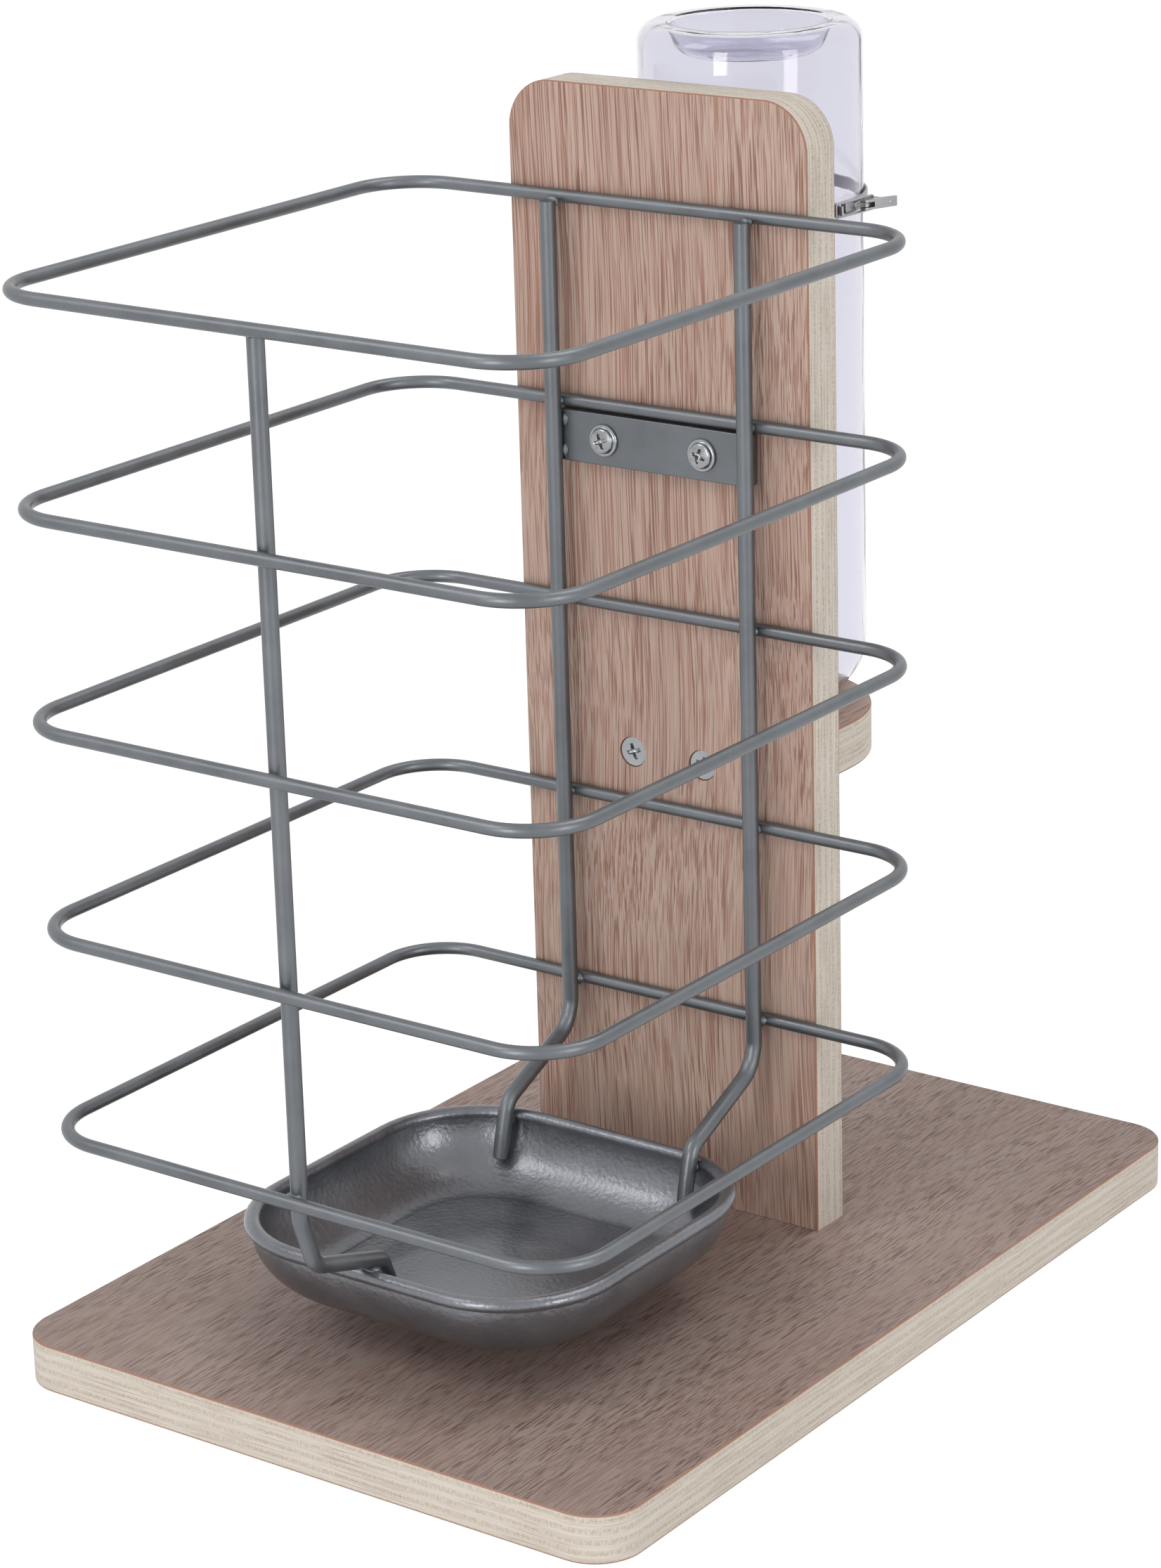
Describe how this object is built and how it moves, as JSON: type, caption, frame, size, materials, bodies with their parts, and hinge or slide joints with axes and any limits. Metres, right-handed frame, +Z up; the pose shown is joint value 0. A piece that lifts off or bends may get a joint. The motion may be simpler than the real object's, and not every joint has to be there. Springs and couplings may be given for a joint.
{
  "type": "pet feeding stand with wire basket and bottle",
  "caption": "Plywood stand with an open wire basket over a metal tray in front, and an inverted water bottle on a shelf behind, held by a latched spring clamp.",
  "frame": {"origin": "centre of the base board's underside, on the surface the stand rests on", "axes": "+Z up along the post; the basket is towards -Y and the bottle towards +Y; +X is the side of the clamp's latch"},
  "size_m": [0.22, 0.32, 0.382],
  "materials": {
    "plywood": "sanded, thin oil",
    "plated_wire": "satin plated",
    "pressed_tray": "satin, slight orange peel",
    "screw_zinc": "bright zinc",
    "clamp_nickel": "satin nickel",
    "bottle_clear": "clear, faint lavender",
    "cap_plastic": "moulded, fine ribs",
    "seal_rubber": "matt",
    "tube_steel": "polished stainless",
    "ball_steel": "polished ball"
  },
  "bodies": {
    "stand": {"base_board": "plywood", "post": "plywood", "bottle_shelf": "plywood", "mounting_plate": "plated_wire", "tray": "pressed_tray", "ring_1": "plated_wire", "ring_2": "plated_wire", "ring_3": "plated_wire", "ring_4": "plated_wire", "ring_5": "plated_wire", "upright_left": "plated_wire", "upright_right": "plated_wire", "upright_front": "plated_wire", "plate_screws": "screw_zinc", "shelf_screws": "screw_zinc", "post_screws": "screw_zinc", "clamp_screws": "screw_zinc", "clamp_bracket": "clamp_nickel", "clamp_band": "clamp_nickel", "latch_base": "clamp_nickel", "latch_pin": "clamp_nickel", "latch_strike": "clamp_nickel"},
    "bottle_unit": {"bottle": "bottle_clear"},
    "cap_unit": {"bottle_cap": "cap_plastic", "cap_seal": "seal_rubber", "drinking_tube": "tube_steel"},
    "ball": {"valve_ball": "ball_steel"},
    "lever": {"latch_lever": "clamp_nickel"},
    "loop": {"latch_loop": "clamp_nickel"}
  },
  "joints": [
    {"name": "bottle_lift", "type": "slide", "parent": "stand", "child": "bottle_unit", "axis": [0, 0, 1], "range_m": [0, 0.3]},
    {"name": "cap_turn", "type": "hinge", "parent": "bottle_unit", "child": "cap_unit", "pos_m": [0, 0.08323, 0.15], "axis": [0, 0, -1], "range_deg": [0, 360]},
    {"name": "ball_push", "type": "slide", "parent": "cap_unit", "child": "ball", "axis": [0, -0.5, 0.866], "range_m": [0, 0.0015]},
    {"name": "latch_lever_swing", "type": "hinge", "parent": "stand", "child": "lever", "pos_m": [0.03811, 0.08791, 0.3282], "axis": [0, 0, -1], "range_deg": [0, 120]},
    {"name": "latch_loop_swing", "type": "hinge", "parent": "lever", "child": "loop", "pos_m": [0.03781, 0.09239, 0.3282], "axis": [0, 0, -1], "range_deg": [-120, 0]}
  ],
  "couplings": [
    {"joint": "latch_loop_swing", "follows": "latch_lever_swing", "ratio": -1}
  ]
}
